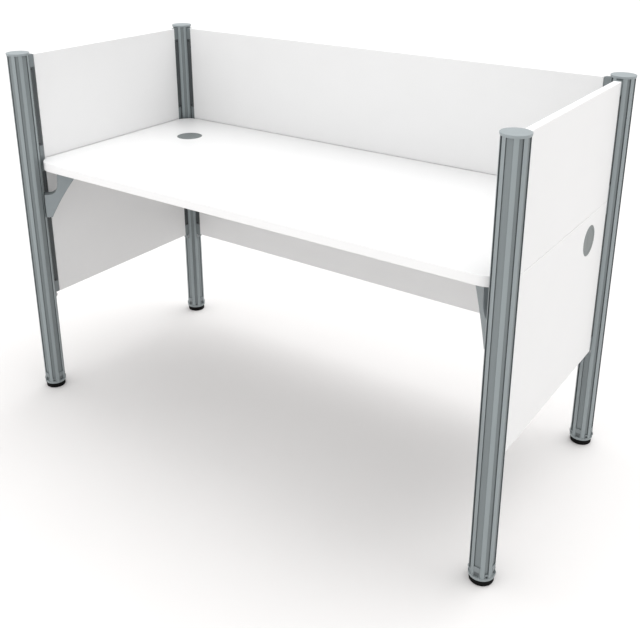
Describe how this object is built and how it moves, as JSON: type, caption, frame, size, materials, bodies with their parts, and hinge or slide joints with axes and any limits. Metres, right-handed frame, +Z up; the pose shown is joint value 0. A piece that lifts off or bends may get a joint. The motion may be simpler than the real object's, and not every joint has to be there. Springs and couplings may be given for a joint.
{
  "type": "study carrel",
  "caption": "Desk-height study carrel: channelled metal posts carry a white desktop, privacy panels round three sides and modesty panels below, open at the front.",
  "frame": {"origin": "on the floor, at the centre of the footprint", "axes": "+X along the desk to the sitter's right, +Y away from the sitter, +Z up"},
  "size_m": [1.5768, 0.7388, 1.08],
  "materials": {
    "aluminium": "satin anodised extrusion",
    "cap_grey": "moulded light grey plastic",
    "charcoal": "matt dark grey plastic strip",
    "white_laminate": "white laminate on particle board",
    "black_plastic": "black moulded plastic",
    "zinc_steel": "zinc-plated steel",
    "grommet_grey": "mid-grey moulded plastic"
  },
  "bodies": {
    "carrel": {"post_left_front": "aluminium", "post_right_front": "aluminium", "post_left_rear": "aluminium", "post_right_rear": "aluminium", "post_cap_left_front": "cap_grey", "post_cap_right_front": "cap_grey", "post_cap_left_rear": "cap_grey", "post_cap_right_rear": "cap_grey", "foot_collar_left_front": "cap_grey", "foot_collar_right_front": "cap_grey", "foot_collar_left_rear": "cap_grey", "foot_collar_right_rear": "cap_grey", "desk_bracket_left_front": "aluminium", "desk_bracket_right_front": "aluminium", "desk_bracket_left_rear": "aluminium", "desk_bracket_right_rear": "aluminium", "top_connector_left_front": "aluminium", "top_connector_left_rear": "aluminium", "top_connector_back_left": "aluminium", "top_connector_back_right": "aluminium", "top_connector_right_front": "aluminium", "top_connector_right_rear": "aluminium", "seam_connector_left_front": "aluminium", "seam_connector_left_rear": "aluminium", "seam_connector_back_left": "aluminium", "seam_connector_back_right": "aluminium", "seam_connector_right_front": "aluminium", "seam_connector_right_rear": "aluminium", "bottom_connector_left_front": "aluminium", "bottom_connector_left_rear": "aluminium", "bottom_connector_back_left": "aluminium", "bottom_connector_back_right": "aluminium", "bottom_connector_right_front": "aluminium", "bottom_connector_right_rear": "aluminium", "filler_strip_left_front": "charcoal", "filler_strip_left_rear": "charcoal", "filler_strip_back_left": "charcoal", "filler_strip_back_right": "charcoal", "filler_strip_right_front": "charcoal", "filler_strip_right_rear": "charcoal", "privacy_panel_left": "white_laminate", "privacy_panel_right": "white_laminate", "privacy_panel_back": "white_laminate", "modesty_panel_left": "white_laminate", "modesty_panel_right": "white_laminate", "modesty_panel_back": "white_laminate", "desktop": "white_laminate", "desk_grommet_liner": "grommet_grey", "panel_grommet_liner": "grommet_grey"},
    "foot_stem_left_front": {"foot_stem_left_front": "zinc_steel"},
    "foot_stem_right_front": {"foot_stem_right_front": "zinc_steel"},
    "foot_stem_left_rear": {"foot_stem_left_rear": "zinc_steel"},
    "foot_stem_right_rear": {"foot_stem_right_rear": "zinc_steel"},
    "foot_pad_left_front": {"foot_pad_left_front": "black_plastic"},
    "foot_pad_right_front": {"foot_pad_right_front": "black_plastic"},
    "foot_pad_left_rear": {"foot_pad_left_rear": "black_plastic"},
    "foot_pad_right_rear": {"foot_pad_right_rear": "black_plastic"},
    "desk_grommet_lid": {"desk_grommet_lid": "grommet_grey"},
    "panel_grommet_lid": {"panel_grommet_lid": "grommet_grey"}
  },
  "joints": [
    {"name": "foot_travel_left_front", "type": "slide", "parent": "carrel", "child": "foot_stem_left_front", "axis": [0, 0, -1], "range_m": [0, 0.018]},
    {"name": "foot_travel_right_front", "type": "slide", "parent": "carrel", "child": "foot_stem_right_front", "axis": [0, 0, -1], "range_m": [0, 0.018]},
    {"name": "foot_travel_left_rear", "type": "slide", "parent": "carrel", "child": "foot_stem_left_rear", "axis": [0, 0, -1], "range_m": [0, 0.018]},
    {"name": "foot_travel_right_rear", "type": "slide", "parent": "carrel", "child": "foot_stem_right_rear", "axis": [0, 0, -1], "range_m": [0, 0.018]},
    {"name": "foot_turn_left_front", "type": "hinge", "parent": "foot_stem_left_front", "child": "foot_pad_left_front", "pos_m": [-0.756, -0.337, 0], "axis": [0, 0, -1], "range_deg": [0, 4320]},
    {"name": "foot_turn_right_front", "type": "hinge", "parent": "foot_stem_right_front", "child": "foot_pad_right_front", "pos_m": [0.756, -0.337, 0], "axis": [0, 0, -1], "range_deg": [0, 4320]},
    {"name": "foot_turn_left_rear", "type": "hinge", "parent": "foot_stem_left_rear", "child": "foot_pad_left_rear", "pos_m": [-0.756, 0.337, 0], "axis": [0, 0, -1], "range_deg": [0, 4320]},
    {"name": "foot_turn_right_rear", "type": "hinge", "parent": "foot_stem_right_rear", "child": "foot_pad_right_rear", "pos_m": [0.756, 0.337, 0], "axis": [0, 0, -1], "range_deg": [0, 4320]},
    {"name": "desk_lid_lift", "type": "slide", "parent": "carrel", "child": "desk_grommet_lid", "axis": [0, 0, 1], "range_m": [0, 0.03]},
    {"name": "panel_lid_pull", "type": "slide", "parent": "carrel", "child": "panel_grommet_lid", "axis": [1, 0, 0], "range_m": [0, 0.03]}
  ],
  "couplings": [
    {"joint": "foot_travel_left_front", "follows": "foot_turn_left_front", "m_per_rad": 0.00023873},
    {"joint": "foot_travel_right_front", "follows": "foot_turn_right_front", "m_per_rad": 0.00023873},
    {"joint": "foot_travel_left_rear", "follows": "foot_turn_left_rear", "m_per_rad": 0.00023873},
    {"joint": "foot_travel_right_rear", "follows": "foot_turn_right_rear", "m_per_rad": 0.00023873}
  ]
}
